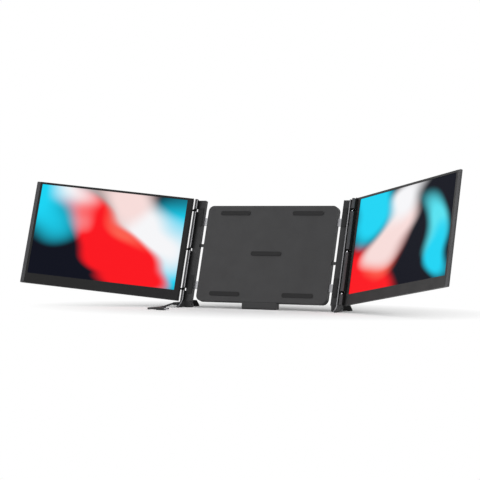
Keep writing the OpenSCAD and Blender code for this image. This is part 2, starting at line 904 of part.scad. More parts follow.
module bezel(s) {
    color([0.13, 0.13, 0.14])
        screen_frame(s) {
            upright(0, bezel_t) difference() {
                case_outline();
                translate([inner_border, chin_h]) square([display_w, display_h]);
            }
            // Raised rib along the inner edge
            upright(-rib_d, rib_d) difference() {
                intersection() {
                    case_outline();
                    square([rib_w, screen_h]);
                }
                arm_slots(-cut, rib_w + cut);
            }
            // Strip that closes the gap beside the right barrels from behind
            if (s > 0)
                upright(web_set + web_t + free_gap - set_back(s), strip_t) difference() {
                    translate([-reach(s) - strip_over, case_r / 2])
                        square([reach(s) + strip_over + rib_w / 2, screen_h - case_r]);
                    arm_slots(-reach(s) - strip_over - cut, rib_w);
                }
        }
}

module at_arm_screws() {
    for (i = [0:2], z = [-1, 1])
        translate([
            plate_w / 2 + case_wall / 2,
            0,
            knuckle_lo(i) + arm_h / 2 - screen_lift + z * arm_screw_pitch / 2
        ])
            children();
}

module back_cover(s) {
    color([0.22, 0.22, 0.23])
        screen_frame(s) {
            difference() {
                upright(bezel_t, screen_t - bezel_t) case_outline();
                upright(bezel_t - cut, wall_y - bezel_t + cut)
                    translate([case_wall, case_wall])
                        rounded(trim_x - 2 * case_wall, screen_h - 2 * case_wall, case_r - case_wall);
                for (i = [0:2])
                    translate([
                        -cut,
                        plate_y - seat_gap,
                        knuckle_lo(i) + arm_h / 2 - screen_lift - plate_h / 2 - seat_gap
                    ])
                        cube([
                            case_wall + 2 * cut,
                            plate_t + seat_gap,
                            plate_h + 2 * seat_gap
                        ]);
                at_arm_screws() {
                    rod_y(0, wall_y - cut, 0, arm_screw_d + 0.1, case_wall + 2 * cut);
                    rod_y(0, screen_t - arm_screw_head_t, 0, arm_screw_head + 0.1, 2);
                }
                for (i = [0, 1])
                    rod_y(
                        button_x + i * button_pitch, wall_y - cut, button_z,
                        button_d + 0.2, case_wall + 2 * cut
                    );
            }
            // Posts that carry the driver board
            for (x = [board_x + 5, board_x + board_w / 2, board_x + board_w - 5])
                rod_y(x, board_y + board_t, board_lo + board_h / 2, 4, wall_y - board_y - board_t + 0.1);
        }
}

module edge_trim(s) {
    color([0.3, 0.3, 0.31])
        screen_frame(s) intersection() {
            linear_extrude(screen_h)
                polygon([
                    [trim_x, 0],
                    [screen_w, trim_drop],
                    [screen_w, screen_t - trim_back],
                    [screen_w - 2 * trim_back, screen_t],
                    [trim_x, screen_t]
                ]);
            upright(0, screen_t) rounded(screen_w, screen_h, case_r);
        }
}

module panel(s) {
    color(s < 0 ? [0.9, 0.25, 0.25] : [0.3, 0.85, 0.9])
        screen_frame(s) upright(bezel_t, panel_t)
            translate([panel_x, panel_z]) square([panel_w, panel_h]);
}

module backlight(s) {
    color([0.93, 0.93, 0.95])
        screen_frame(s) upright(bezel_t + panel_t, backlight_t)
            translate([panel_x, panel_z]) square([panel_w, panel_h]);
}

module driver_board(s) {
    color([0.1, 0.32, 0.2])
        screen_frame(s) {
            upright(board_y, board_t)
                translate([board_x, board_lo]) square([board_w, board_h]);
            for (x = chip_rows)
                translate([board_x + x * board_w, board_y - 0.8, board_lo + 3]) cube([8, 0.9, 7]);
        }
}

// Outline of a hinge arm's link, from the shaft to the screen's case
module link_outline(s) {
    circle(barrel_r - 0.05);
    entry = [reach(s), set_back(s) + plate_y];
    if (s < 0)
        polygon([
            [-1.6, 2.9],
            [0.6, -3.2],
            [3.2, -1],
            entry,
            entry + [1, 0],
            entry + [1, plate_t],
            entry + [-1.8, plate_t]
        ]);
    else
        polygon([
            [-barrel_r + 0.1, 0],
            [barrel_r - 0.1, 0],
            [reach(s) - 0.4, 4.6],
            [reach(s) - 0.4, entry[1]],
            entry + [1, 0],
            entry + [1, plate_t],
            entry + [-4, plate_t],
            [-barrel_r + 0.1, 5]
        ]);
}

module hinge_arms(s) {
    color([0.09, 0.09, 0.095])
        arm_frame(s) difference() {
            for (i = [0:2]) {
                translate([0, 0, knuckle_lo(i)]) linear_extrude(arm_h) link_outline(s);
                // Thrust block that fills the left openings, and the right ones behind the shaft
                translate([0, 0, gap_mid(i) - hinge_gap / 2 + block_gap])
                    linear_extrude(hinge_gap - 2 * block_gap) intersection() {
                        circle(barrel_r - 0.05);
                        if (s < 0)
                            circle(barrel_r);
                        else
                            rotate([0, 0, block_turn])
                                translate([-barrel_r, 0]) square([barrel_d, barrel_r]);
                    }
                translate([
                    reach(s) + 0.1,
                    set_back(s) + plate_y,
                    knuckle_lo(i) + arm_h / 2 - plate_h / 2
                ])
                    cube([plate_w, plate_t, plate_h]);
            }
            translate([0, 0, column_lo]) cylinder(h = column_h, d = shaft_d + 2 * run_gap);
            translate([reach(s), set_back(s), screen_lift])
                at_arm_screws() rod_y(0, plate_y - cut, 0, arm_screw_d + 0.1, plate_t + 2 * cut);
        }
}

module arm_screws(s) {
    color([0.55, 0.55, 0.57])
        screen_frame(s) at_arm_screws() {
            rod_y(0, plate_y + 0.1, 0, arm_screw_d, screen_t - plate_y - 0.2);
            rod_y(0, screen_t - arm_screw_head_t + 0.05, 0, arm_screw_head, arm_screw_head_t - 0.1);
        }
}

module button(s, place) {
    x = button_x + place * button_pitch;
    color([0.08, 0.08, 0.085])
        screen_frame(s) {
            rod_y(x, wall_y - 0.1, button_z, button_d, case_wall + 0.1 + button_travel);
            rod_y(x, wall_y - flange_t - 0.05, button_z, button_d + 2 * flange_rim, flange_t);
            rod_y(x, board_y + board_t + button_travel + 0.1, button_z, 2.4,
                  wall_y - flange_t - board_y - board_t - button_travel - 0.1);
        }
}

// ---- Cable ----

// A point of the smooth curve through the route, at t from 0 to 1
function smooth_point(pts, t) =
    let(
        last = len(pts) - 1,
        u = min(t * last, last - 0.0001),
        i = floor(u),
        f = u - i,
        a = pts[max(i - 1, 0)],
        b = pts[i],
        c = pts[i + 1],
        d = pts[min(i + 2, last)]
    )
    0.5 * (2 * b + (c - a) * f + (2 * a - 5 * b + 4 * c - d) * f * f
        + (3 * b - a - 3 * c + d) * f * f * f);

function unit(v) = v / norm(v);
function ring_at(p, way, r, sides) =
    let(side = unit(cross(way, [0, 0, 1])), up = cross(side, way))
    [for (k = [0:sides - 1])
        p + r * (cos(360 * (k + 0.5) / sides) * side + sin(360 * (k + 0.5) / sides) * up)];

module tube(path, r, sides) {
    last = len(path) - 1;
    rings = [
        for (i = [0:last])
            ring_at(path[i], unit(path[min(i + 1, last)] - path[max(i - 1, 0)]), r, sides)
    ];
    points = [for (ring = rings, p = ring) p];
    walls = [
        for (i = [0:last - 1], k = [0:sides - 1])
            let(a = i * sides + k, b = i * sides + (k + 1) % sides)
            each [[a, b, b + sides], [a, b + sides, a + sides]]
    ];
    start = [[for (k = [sides - 1:-1:0]) k]];
    end = [[for (k = [0:sides - 1]) last * sides + k]];
    polyhedron(points, concat(walls, start, end));
}

module cable() {
    color([0.05, 0.05, 0.055])
        tube(
            [for (i = [0:cable_rings]) smooth_point(cable_route, i / cable_rings)],
            cable_d / 2, cable_sides
        );
}

// A plug along +z: relief, grip and metal shell, with the cable's end at z = 0
module plug() {
    linear_extrude(relief_l) circle(d = relief_d);
    translate([0, 0, relief_l]) linear_extrude(grip_l) stadium(grip_w, grip_t);
    translate([0, 0, relief_l + grip_l]) linear_extrude(shell_l) stadium(shell_w, shell_t);
}

module cable_plug() {
    color([0.09, 0.09, 0.095])
        translate([-port_x, plug_y, port_z]) rotate([-90, 0, 0]) plug();
}

module laptop_plug() {
    last = cable_route[len(cable_route) - 1];
    color([0.09, 0.09, 0.095])
        translate([last[0] + plug_gap, last[1], last[2]])
            rotate([0, 90, 0]) rotate([0, 0, 90]) plug();
}

housing_front();
housing_back();
backbone_plate();
slide_guides();
sync_pinion();
pinion_axle();
main_board();
lid_pads();
base_foot();
base_sole();
housing_screws();
side_rail(LEFT);  // left_side_rail
edge_lip(LEFT);  // left_edge_lip
slide_bars(LEFT);  // left_slide_bars
rack(LEFT);  // left_rack
rail_pads(LEFT);  // left_rail_pads
hinge_barrels(LEFT);  // left_hinge_barrels
hinge_shaft(LEFT);  // left_hinge_shaft
foot(LEFT);  // left_foot
foot_sole(LEFT);  // left_foot_sole
leg_pin(LEFT);  // left_leg_pin
leg(LEFT);  // left_leg
leg_sole(LEFT);  // left_leg_sole
port_board();
usb_c_socket();
side_rail(RIGHT);  // right_side_rail
edge_lip(RIGHT);  // right_edge_lip
slide_bars(RIGHT);  // right_slide_bars
rack(RIGHT);  // right_rack
rail_pads(RIGHT);  // right_rail_pads
hinge_barrels(RIGHT);  // right_hinge_barrels
hinge_shaft(RIGHT);  // right_hinge_shaft
foot(RIGHT);  // right_foot
foot_sole(RIGHT);  // right_foot_sole
leg_pin(RIGHT);  // right_leg_pin
leg(RIGHT);  // right_leg
leg_sole(RIGHT);  // right_leg_sole
back_cover(LEFT);  // left_back_cover
bezel(LEFT);  // left_bezel
edge_trim(LEFT);  // left_edge_trim
panel(LEFT);  // left_panel
backlight(LEFT);  // left_backlight
driver_board(LEFT);  // left_driver_board
hinge_arms(LEFT);  // left_hinge_arms
arm_screws(LEFT);  // left_arm_screws
button(LEFT, 0);  // left_power_button
button(LEFT, 1);  // left_menu_button
back_cover(RIGHT);  // right_back_cover
bezel(RIGHT);  // right_bezel
edge_trim(RIGHT);  // right_edge_trim
panel(RIGHT);  // right_panel
backlight(RIGHT);  // right_backlight
driver_board(RIGHT);  // right_driver_board
hinge_arms(RIGHT);  // right_hinge_arms
arm_screws(RIGHT);  // right_arm_screws
button(RIGHT, 0);  // right_power_button
button(RIGHT, 1);  // right_menu_button
cable();
cable_plug();
laptop_plug();
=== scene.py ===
"""A laptop screen extender: two lit side screens on hinge columns, on a leaning frame."""

import json
import math

import bpy
from mathutils import Matrix, Vector


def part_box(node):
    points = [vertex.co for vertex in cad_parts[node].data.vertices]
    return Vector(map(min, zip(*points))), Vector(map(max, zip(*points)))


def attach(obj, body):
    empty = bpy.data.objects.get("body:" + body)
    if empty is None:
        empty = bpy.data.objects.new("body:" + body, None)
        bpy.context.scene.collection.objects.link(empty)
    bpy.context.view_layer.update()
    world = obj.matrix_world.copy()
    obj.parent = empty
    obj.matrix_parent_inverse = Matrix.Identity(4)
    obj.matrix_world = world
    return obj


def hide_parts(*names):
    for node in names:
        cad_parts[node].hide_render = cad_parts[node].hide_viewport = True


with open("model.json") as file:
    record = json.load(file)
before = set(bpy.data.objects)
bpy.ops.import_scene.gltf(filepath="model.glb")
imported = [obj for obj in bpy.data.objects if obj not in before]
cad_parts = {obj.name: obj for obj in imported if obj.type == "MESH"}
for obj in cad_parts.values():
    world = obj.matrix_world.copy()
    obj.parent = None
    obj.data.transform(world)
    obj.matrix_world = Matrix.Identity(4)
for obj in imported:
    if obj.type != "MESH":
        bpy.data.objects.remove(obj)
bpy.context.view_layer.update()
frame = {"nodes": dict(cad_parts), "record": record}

MM = 0.001

# Camera: angles in degrees, the point it looks at in millimetres, its distance in metres
AZIMUTH, ELEVATION, ROLL = 29.14, 0.51, 0.29
LOOKS_AT = (-39.56, -14.53, 140.5)
DISTANCE = 3.448
LENS, SENSOR = 127.5, 36

# The leaning frame: x right, y back from the plane that the lid rests on, z up the lean
LEAN = math.radians(16.1)
PLANE = Vector((0, -10, 1.65)) * MM

# Each side: which way is out, how far the screen is turned in, and its hinge line
SIDES = {
    "left": {"out": -1, "toe": 22.3, "axis": (181.4, -0.75), "corner": (7.2, 3.5)},
    "right": {"out": 1, "toe": 31.7, "axis": (184.8, -4.85), "corner": (1.9, 6.2)},
}
SCREEN_LIFT = 12.4

# A foot's round face at the leg's pivot, and its toe bead: places across and back, and up
LEG_PIVOT = (1.9, 6.5)
RING_R = 5.6
BEAD_IN, BEAD_OUT = 177, 179.2

# Where the pale front of each side lip ends, back from the hinge line; behind it the lip gets
# painted shade
LIP_FRONT = {"left": -2, "right": 0.8}

# A screen, measured in millimetres from its lower inner front corner
PICTURE_W, PICTURE_H = 315, 195.3
CHIN, INNER_BORDER = 21.4, 13
BEZEL_T = 1
PICTURE_BACK = 0.06
PICTURE_EDGE = 0.2

# The cable, in millimetres, as in the frame's source
CABLE_ROUTE = [
    (-189, -31.2, 7.5), (-189, -38.2, 7.1), (-189.5, -50.2, 5), (-190, -64.2, 2.9),
    (-190.5, -80.2, 2.1), (-191, -100.2, 2), (-190.5, -114.2, 2), (-188, -126.2, 2.2),
    (-183, -131.7, 2.8), (-178, -133.2, 3.1), (-172, -133.2, 3.1),
]
CABLE_D = 3.8
GRIP = (11.6, 6.2, 20)
SHELL = (8.3, 2.5, 6.6)
RELIEF = (5, 8)


# ---- Camera ----

def add_camera():
    azimuth, elevation, roll = (math.radians(angle) for angle in (AZIMUTH, ELEVATION, ROLL))
    target = Vector(LOOKS_AT) * MM
    back = Vector((
        math.sin(azimuth) * math.cos(elevation),
        -math.cos(azimuth) * math.cos(elevation),
        math.sin(elevation),
    ))
    data = bpy.data.cameras.new("camera")
    data.lens = LENS
    data.sensor_width = SENSOR
    data.clip_start, data.clip_end = 0.1, 40
    camera = bpy.data.objects.new("camera", data)
    bpy.context.scene.collection.objects.link(camera)
    turn = (-back).to_track_quat("-Z", "Y").to_matrix().to_4x4()
    place = Matrix.Translation(target + back * DISTANCE)
    camera.matrix_world = place @ turn @ Matrix.Rotation(roll, 4, "Z")
    bpy.context.scene.camera = camera


# ---- Places ----

def lean_frame():
    return Matrix.Translation(PLANE) @ Matrix.Rotation(-LEAN, 4, "X")


def hinge_frame(side):
    """At a hinge line: x outwards, y back, z up the lean."""
    spec = SIDES[side]
    flip = Matrix.Diagonal((spec["out"], 1, 1, 1))
    return lean_frame() @ flip @ Matrix.Translation(Vector((*spec["axis"], 0)) * MM)


def screen_frame(side):
    """At a screen's lower inner front corner: x outwards, y back, z up."""
    spec = SIDES[side]
    turn = Matrix.Rotation(-math.radians(spec["toe"]), 4, "Z")
    corner = Vector((*spec["corner"], SCREEN_LIFT)) * MM
    return hinge_frame(side) @ turn @ Matrix.Translation(corner)


def backwards(place):
    """The way back in a frame."""
    return (place.to_3x3() @ Vector((0, 1, 0))).normalized()


# ---- Modelling by hand ----

def deselect():
    if bpy.context.object and bpy.context.object.mode != "OBJECT":
        bpy.ops.object.mode_set(mode="OBJECT")
    bpy.ops.object.select_all(action="DESELECT")


def take(piece):
    """Makes a piece the only selected one and the active one."""
    deselect()
    piece.select_set(True)
    bpy.context.view_layer.objects.active = piece


def edit(piece, mode="FACE"):
    take(piece)
    bpy.ops.object.mode_set(mode="EDIT")
    bpy.ops.mesh.select_mode(type=mode)
    bpy.ops.mesh.select_all(action="DESELECT")


def pick_faces(piece, test):
    """Selects the faces that pass the test, given a face's middle and normal in its mesh."""
    bpy.ops.object.mode_set(mode="OBJECT")
    for face in piece.data.polygons:
        face.select = test(face.center, face.normal)
    bpy.ops.object.mode_set(mode="EDIT")


def block(name, low, high):
    """A box between two corners given in millimetres, for shaping further."""
    deselect()
    low, high = Vector(low) * MM, Vector(high) * MM
    bpy.ops.mesh.primitive_cube_add(size=1, location=(low + high) / 2)
    piece = bpy.context.active_object
    piece.name = name
    piece.scale = high - low
    settle(piece)
    return piece


def drum(name, radius, low, high, corners=48):
    """A round bar along z between two heights, for shaping further."""
    deselect()
    bpy.ops.mesh.primitive_cylinder_add(
        vertices=corners, radius=radius * MM, depth=(high - low) * MM,
        location=(0, 0, (low + high) / 2 * MM),
    )
    piece = bpy.context.active_object
    piece.name = name
    settle(piece)
    return piece


def settle(piece):
    """Moves a piece's place, turn and size into its mesh."""
    take(piece)
    bpy.ops.object.transform_apply(location=True, rotation=True, scale=True)


def seat(piece, place):
    """Puts a piece that was modelled at a frame's origin into that frame."""
    piece.data.transform(place)
    if place.determinant() < 0:
        edit(piece)
        bpy.ops.mesh.select_all(action="SELECT")
        bpy.ops.mesh.flip_normals()
        deselect()
    return piece


def bevel(piece, width, steps=2):
    """Rounds a piece's sharp edges by that many millimetres."""
    take(piece)
    rounding = piece.modifiers.new("rounding", "BEVEL")
    rounding.width = width * MM
    rounding.segments = steps
    rounding.limit_method = "ANGLE"
    rounding.angle_limit = math.radians(30)
    bpy.ops.object.modifier_apply(modifier=rounding.name)


def smooth(piece, angle=35):
    """Shades a piece smooth up to an angle, with its big faces kept flat."""
    take(piece)
    bpy.ops.object.shade_smooth_by_angle(angle=math.radians(angle))
    even = piece.modifiers.new("flat faces stay flat", "WEIGHTED_NORMAL")
    even.keep_sharp = True
    bpy.ops.object.modifier_apply(modifier=even.name)


def join(name, pieces):
    """Joins pieces into one mesh under one name."""
    deselect()
    for piece in pieces:
        piece.select_set(True)
    bpy.context.view_layer.objects.active = pieces[0]
    if len(pieces) > 1:
        bpy.ops.object.join()
    pieces[0].name = name
    return pieces[0]


def twin(piece):
    """A copy with its own mesh."""
    take(piece)
    bpy.ops.object.duplicate()
    return bpy.context.active_object


def eased(node, width, steps=2):
    """A frame node's shape with its sharp edges eased by that many millimetres."""
    piece = twin(frame["nodes"][node])
    piece.name = node + "_eased"
    edit(piece, "VERT")
    bpy.ops.mesh.select_all(action="SELECT")
    bpy.ops.mesh.remove_doubles(threshold=2e-6)
    bpy.ops.mesh.dissolve_limited(angle_limit=math.radians(0.5))
    deselect()
    bevel(piece, width, steps)
    smooth(piece)
    return piece


def socketed(node, facing, width, depth):
    """A node's screws with eased heads and a hexagonal socket in each."""
    piece = eased(node, 0.12)
    heads = [face.center.copy() for face in piece.data.polygons if face.normal.dot(facing) > 0.99]
    tall = max(head.dot(facing) for head in heads)
    turn = facing.to_track_quat("Z", "Y").to_matrix().to_4x4()
    sockets = []
    for head in heads:
        if tall - head.dot(facing) < 0.1 * MM:
            socket = drum("socket", width / 2, -depth, 1, 6)
            sockets.append(seat(socket, Matrix.Translation(head) @ turn))
    sockets = join("sockets", sockets)
    cut = piece.modifiers.new("sockets", "BOOLEAN")
    cut.operation = "DIFFERENCE"
    cut.object = sockets
    take(piece)
    bpy.ops.object.modifier_apply(modifier=cut.name)
    bpy.data.objects.remove(sockets)
    smooth(piece)
    return piece


def finish_piece(piece, material, body, slot, *nodes):
    """Gives a piece its finish and its body, and hides the nodes it stands for."""
    piece.data.materials.clear()
    piece.data.materials.append(material)
    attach(piece, body)
    if nodes:
        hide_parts(*nodes)
    return piece


def dress(materials, node, width, material, body, slot, steps=2):
    """Puts a node's shape with eased edges and a finish in the node's place."""
    return finish_piece(eased(node, width, steps), materials[material], body, slot, node)


def paint(piece, material, place, test):
    """Gives another finish to the faces that pass the test, in millimetres of a frame."""
    piece.data.materials.append(material)
    home = place.inverted()
    for face in piece.data.polygons:
        if test((home @ face.center) / MM, (home.to_3x3() @ face.normal).normalized()):
            face.material_index = len(piece.data.materials) - 1


# ---- Materials ----

def new_material(name):
    material = bpy.data.materials.new(name)
    material.use_nodes = True
    tree = material.node_tree
    return material, tree, tree.nodes["Principled BSDF"]


def noise(tree, scale, detail, roughness=0.5, stretch=(1, 1, 1)):
    """A noise pattern on the piece's own coordinates, stretched along an axis if asked."""
    place = tree.nodes.new("ShaderNodeTexCoord")
    mapping = tree.nodes.new("ShaderNodeMapping")
    mapping.inputs["Scale"].default_value = stretch
    pattern = tree.nodes.new("ShaderNodeTexNoise")
    pattern.inputs["Scale"].default_value = scale
    pattern.inputs["Detail"].default_value = detail
    pattern.inputs["Roughness"].default_value = roughness
    tree.links.new(place.outputs["Object"], mapping.inputs["Vector"])
    tree.links.new(mapping.outputs["Vector"], pattern.inputs["Vector"])
    return pattern.outputs["Fac"]


def span(tree, value, low, high, start=0.3, end=0.7):
    """Spreads a pattern's values between two numbers."""
    node = tree.nodes.new("ShaderNodeMapRange")
    node.inputs["From Min"].default_value = start
    node.inputs["From Max"].default_value = end
    node.inputs["To Min"].default_value = low
    node.inputs["To Max"].default_value = high
    tree.links.new(value, node.inputs["Value"])
    return node.outputs["Result"]


def shades(tree, value, stops):
    """Colours a pattern from a list of (place, colour) stops."""
    ramp = tree.nodes.new("ShaderNodeValToRGB").color_ramp
    node = tree.nodes[-1]
    ramp.elements[0].position, ramp.elements[0].color = stops[0][0], (*stops[0][1], 1)
    ramp.elements[1].position, ramp.elements[1].color = stops[-1][0], (*stops[-1][1], 1)
    for position, colour in stops[1:-1]:
        ramp.elements.new(position).color = (*colour, 1)
    tree.links.new(value, node.inputs["Fac"])
    return node.outputs["Color"]


def bumps(tree, shader, height, strength, distance):
    node = tree.nodes.new("ShaderNodeBump")
    node.inputs["Strength"].default_value = strength
    node.inputs["Distance"].default_value = distance * MM
    tree.links.new(height, node.inputs["Height"])
    tree.links.new(node.outputs["Normal"], shader.inputs["Normal"])


def grey(level):
    return (level, level, level * 1.04)


def moulded_plastic(name, level, roughness=0.5, grain=2600, depth=0.02, gloss=0.35):
    """Spark-textured plastic: a fine even grain, with a slow drift in shade and sheen."""
    material, tree, shader = new_material(name)
    drift = noise(tree, 14, 3)
    colour = shades(tree, drift, [(0.3, grey(level * 0.9)), (0.7, grey(level * 1.1))])
    tree.links.new(colour, shader.inputs["Base Color"])
    tree.links.new(
        span(tree, noise(tree, 40, 5), roughness - 0.06, roughness + 0.06),
        shader.inputs["Roughness"],
    )
    shader.inputs["Specular IOR Level"].default_value = gloss
    bumps(tree, shader, noise(tree, grain, 2), 0.4, depth)
    return material


def anodised(name, level, roughness=0.42, metal=0.6, gloss=0.3):
    """Bead-blasted and dyed aluminium."""
    material, tree, shader = new_material(name)
    shader.inputs["Metallic"].default_value = metal
    shader.inputs["Specular IOR Level"].default_value = gloss
    drift = noise(tree, 22, 3)
    colour = shades(tree, drift, [(0.3, grey(level * 0.92)), (0.7, grey(level * 1.08))])
    tree.links.new(colour, shader.inputs["Base Color"])
    tree.links.new(
        span(tree, noise(tree, 60, 5), roughness - 0.05, roughness + 0.05),
        shader.inputs["Roughness"],
    )
    bumps(tree, shader, noise(tree, 3200, 2), 0.2, 0.008)
    return material


def brushed_steel(name, level, along, roughness=0.32):
    """Steel with drawn lines along one axis of the piece."""
    material, tree, shader = new_material(name)
    shader.inputs["Metallic"].default_value = 1
    stretch = tuple(0.03 if axis == along else 1 for axis in "XYZ")
    lines = noise(tree, 3600, 2, stretch=stretch)
    colour = shades(tree, lines, [(0.3, grey(level * 0.94)), (0.7, grey(level * 1.05))])
    tree.links.new(colour, shader.inputs["Base Color"])
    sheen = span(tree, lines, roughness - 0.03, roughness + 0.04)
    tree.links.new(sheen, shader.inputs["Roughness"])
    bumps(tree, shader, lines, 0.12, 0.004)
    return material


def rubber(name, level, roughness=0.8):
    material, tree, shader = new_material(name)
    shader.inputs["Specular IOR Level"].default_value = 0.3
    dust = noise(tree, 180, 6, 0.65)
    colour = shades(tree, dust, [(0.35, grey(level)), (0.7, grey(level * 1.5))])
    tree.links.new(colour, shader.inputs["Base Color"])
    tree.links.new(span(tree, dust, roughness - 0.08, roughness + 0.08), shader.inputs["Roughness"])
    bumps(tree, shader, noise(tree, 1800, 3), 0.5, 0.03)
    return material


def mixed(tree, amount, under, over):
    """Lays one colour over another by an amount from 0 to 1."""
    node = tree.nodes.new("ShaderNodeMix")
    node.data_type = "RGBA"
    tree.links.new(amount, node.inputs["Factor"])
    for socket, colour in (("A", under), ("B", over)):
        slot = [s for s in node.inputs if s.name == socket and s.type == "RGBA"][0]
        if isinstance(colour, tuple):
            slot.default_value = (*colour, 1)
        else:
            tree.links.new(colour, slot)
    return [s for s in node.outputs if s.type == "RGBA"][0]


def vector_step(tree, operation, first, second=None):
    node = tree.nodes.new("ShaderNodeVectorMath")
    node.operation = operation
    tree.links.new(first, node.inputs[0])
    if second is not None:
        node.inputs[1].default_value = second
    return node


def soft_patch(tree, place, middle, reach, turn, firm):
    """How far a soft oval patch covers each point of a picture, from 0 to 1."""
    oval = tree.nodes.new("ShaderNodeMapping")
    oval.vector_type = "TEXTURE"
    oval.inputs["Location"].default_value = (*middle, 0)
    oval.inputs["Rotation"].default_value = (0, 0, math.radians(turn))
    oval.inputs["Scale"].default_value = (*reach, 1)
    tree.links.new(place, oval.inputs["Vector"])
    away = vector_step(tree, "LENGTH", oval.outputs["Vector"])
    edge = tree.nodes.new("ShaderNodeMapRange")
    edge.interpolation_type = "SMOOTHSTEP"
    edge.inputs["From Min"].default_value = firm
    edge.inputs["To Min"].default_value = 1
    edge.inputs["To Max"].default_value = 0
    tree.links.new(away.outputs["Value"], edge.inputs["Value"])
    return edge.outputs["Result"]


def lit_picture(name, seed, ground, patches):
    """A lit panel that shows a soft wash of colour, drawn on the sheet's own UV map."""
    material, tree, shader = new_material(name)
    place = tree.nodes.new("ShaderNodeTexCoord")
    moved = vector_step(tree, "ADD", place.outputs["UV"], (seed, seed / 3, 0))
    flow = tree.nodes.new("ShaderNodeTexNoise")
    flow.inputs["Scale"].default_value = 1.7
    flow.inputs["Detail"].default_value = 0.4
    tree.links.new(moved.outputs["Vector"], flow.inputs["Vector"])
    even = vector_step(tree, "SUBTRACT", flow.outputs["Color"], (0.5, 0.5, 0.5))
    drawn_out = vector_step(tree, "MULTIPLY", even.outputs["Vector"], (0.5, 0.7, 0))
    bent = vector_step(tree, "ADD", drawn_out.outputs["Vector"])
    tree.links.new(place.outputs["UV"], bent.inputs[1])
    picture = ground
    for colour, middle, reach, turn, firm in patches:
        cover = soft_patch(tree, bent.outputs["Vector"], middle, reach, turn, firm)
        picture = mixed(tree, cover, picture, colour)
    shader.inputs["Base Color"].default_value = (0.002, 0.002, 0.002, 1)
    shader.inputs["Roughness"].default_value = 0.3
    shader.inputs["Specular IOR Level"].default_value = 0.02
    tree.links.new(picture, shader.inputs["Emission Color"])
    shader.inputs["Emission Strength"].default_value = 0.97
    return material


def circuit_board(name):
    material, tree, shader = new_material(name)
    traces = noise(tree, 260, 1, stretch=(1, 1, 6))
    colour = shades(tree, traces, [(0.45, (0.01, 0.07, 0.03)), (0.52, (0.03, 0.17, 0.08))])
    tree.links.new(colour, shader.inputs["Base Color"])
    shader.inputs["Roughness"].default_value = 0.35
    return material


NAVY = (0.004, 0.005, 0.012)
RED = (1, 0.008, 0.014)
CORAL = (1, 0.12, 0.08)
BLUSH = (0.96, 0.74, 0.72)
WHITE = (0.95, 0.95, 0.97)
CYAN = (0.01, 0.68, 0.93)
AQUA = (0.1, 0.78, 0.9)

# Each patch of a wash: colour, middle, reach across and up, turn in degrees, firm share
LEFT_WASH = [
    (CYAN, (0.0, 0.42), (0.36, 0.6), 10, 0.35),
    (WHITE, (0.2, 0.62), (0.3, 0.5), -30, 0.3),
    (BLUSH, (0.36, 0.9), (0.34, 0.3), -20, 0.3),
    (RED, (0.5, 0.48), (0.24, 0.62), -40, 0.62),
    (RED, (0.3, 0.16), (0.26, 0.24), 15, 0.5),
    (CORAL, (0.42, 0.62), (0.1, 0.28), -40, 0.1),
    (WHITE, (0.8, 0.86), (0.24, 0.26), 30, 0.3),
    (CYAN, (0.97, 0.78), (0.26, 0.44), 20, 0.35),
]
RIGHT_WASH = [
    (RED, (0.12, 0.1), (0.42, 0.52), 20, 0.6),
    (CORAL, (0.3, 0.34), (0.3, 0.16), 40, 0.1),
    (BLUSH, (0.36, 0.54), (0.44, 0.2), 42, 0.35),
    (WHITE, (0.52, 0.8), (0.36, 0.2), 40, 0.3),
    (CYAN, (0.1, 0.84), (0.4, 0.34), 35, 0.5),
    (AQUA, (0.86, 0.5), (0.2, 0.34), 25, 0.3),
    (CYAN, (0.98, 0.28), (0.2, 0.3), 10, 0.4),
]


def make_materials():
    return {
        "housing": moulded_plastic("housing plastic", 0.03, 0.55),
        "case": moulded_plastic("case plastic", 0.028, 0.45),
        "bezel": moulded_plastic("bezel plastic", 0.009, 0.42, 3200, 0.012, 0.22),
        "button": moulded_plastic("button plastic", 0.02, 0.35),
        "rail": anodised("rail aluminium", 0.03),
        "lip": anodised("lip aluminium", 0.24, 0.42),
        "barrel": anodised("barrel aluminium", 0.075, 0.5, 0.05, 0.03),
        "trim": anodised("trim aluminium", 0.085, 0.48, 0.2, 0.08),
        "foot": anodised("foot aluminium", 0.04, 0.48, 0.3, 0.15),
        "black steel": anodised("black steel", 0.003, 0.5, 0, 0.02),
        # Black that stands in for shade: painted shade on the bezel's rib and on a side lip's sides
        # and web
        "painted_shade": moulded_plastic("painted shade black", 0.004, 0.6, gloss=0.1),
        "steel": brushed_steel("slide steel", 0.36, "X", 0.38),
        "shaft": brushed_steel("shaft steel", 0.55, "Z"),
        "screw": anodised("screw steel", 0.16, 0.35, 0.8, 0.3),
        "rubber": rubber("pad rubber", 0.012),
        "cable": rubber("cable jacket", 0.012, 0.5),
        "acetal": moulded_plastic("acetal", 0.05, 0.4),
        "board": circuit_board("circuit board"),
        "light guide": moulded_plastic("light guide", 0.75, 0.3),
        "panel": moulded_plastic("panel glass", 0.008, 0.12),
        "left picture": lit_picture("left picture", 3.1, NAVY, LEFT_WASH),
        "right picture": lit_picture("right picture", 7.4, NAVY, RIGHT_WASH),
    }


# ---- Cable ----

def smooth_route(points, steps):
    """Points along the smooth curve through the route, as the frame's source makes it."""
    points = [Vector(p) for p in points]
    last = len(points) - 1
    out = []
    for i in range(steps + 1):
        t = min(i / steps * last, last - 0.0001)
        k = int(t)
        f = t - k
        a, b = points[max(k - 1, 0)], points[k]
        c, d = points[k + 1], points[min(k + 2, last)]
        out.append(0.5 * (
            2 * b + (c - a) * f + (2 * a - 5 * b + 4 * c - d) * f * f
            + (3 * b - a - 3 * c + d) * f * f * f
        ) * MM)
    return out


